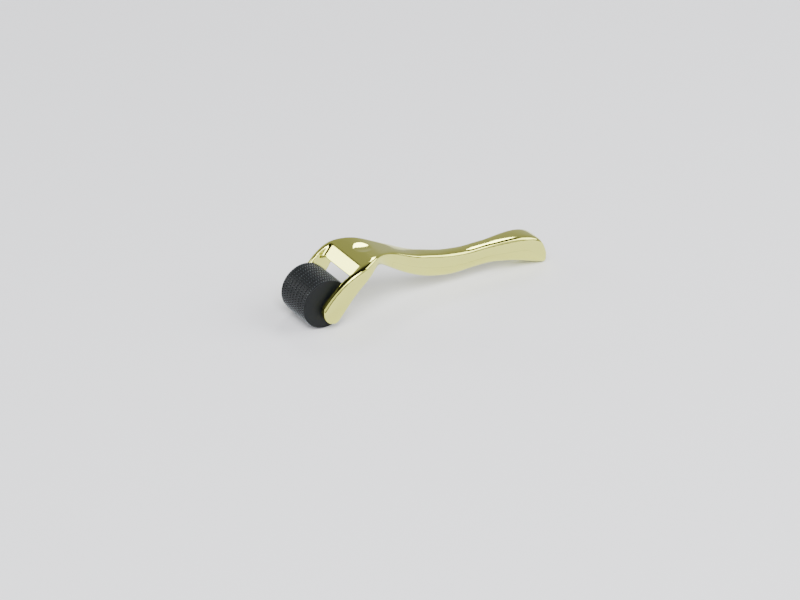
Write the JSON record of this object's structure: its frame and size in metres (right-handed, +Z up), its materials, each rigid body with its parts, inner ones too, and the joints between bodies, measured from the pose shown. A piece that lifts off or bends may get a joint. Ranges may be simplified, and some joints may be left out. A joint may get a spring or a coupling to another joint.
{
  "type": "derma roller",
  "caption": "Hand-held derma roller: a wavy, gold-plated plastic handle whose fork carries a free-spinning black drum ringed with rows of steel needles.",
  "frame": {"origin": "on the table that the roller rests on, under the middle of its overall box", "axes": "+X from the drum towards the tail of the handle, +Y along the drum's axle, +Z up"},
  "size_m": [0.135, 0.0318, 0.0302],
  "materials": {
    "gold_plating": "mirror-bright pale gold plating over moulded ABS",
    "black_plastic": "fine satin moulding",
    "needle_steel": "thin stamped and ground stainless steel",
    "pin_steel": "polished drawn steel"
  },
  "bodies": {
    "handle": {"handle_upper_shell": "gold_plating", "handle_lower_cover": "gold_plating", "axle_pin": "pin_steel"},
    "drum": {"drum_core": "black_plastic", "left_end_cap": "black_plastic", "right_end_cap": "black_plastic", "needle_disc_1": "needle_steel", "needle_disc_2": "needle_steel", "needle_disc_3": "needle_steel", "needle_disc_4": "needle_steel", "needle_disc_5": "needle_steel", "needle_disc_6": "needle_steel", "needle_disc_7": "needle_steel", "needle_disc_8": "needle_steel", "needle_disc_9": "needle_steel", "spacer_ring_1": "black_plastic", "spacer_ring_2": "black_plastic", "spacer_ring_3": "black_plastic", "spacer_ring_4": "black_plastic", "spacer_ring_5": "black_plastic", "spacer_ring_6": "black_plastic", "spacer_ring_7": "black_plastic", "spacer_ring_8": "black_plastic"}
  },
  "joints": [
    {"name": "drum_spin", "type": "hinge", "parent": "handle", "child": "drum", "pos_m": [-0.0555, 0, 0.012], "axis": [0, 1, 0], "continuous": true}
  ]
}
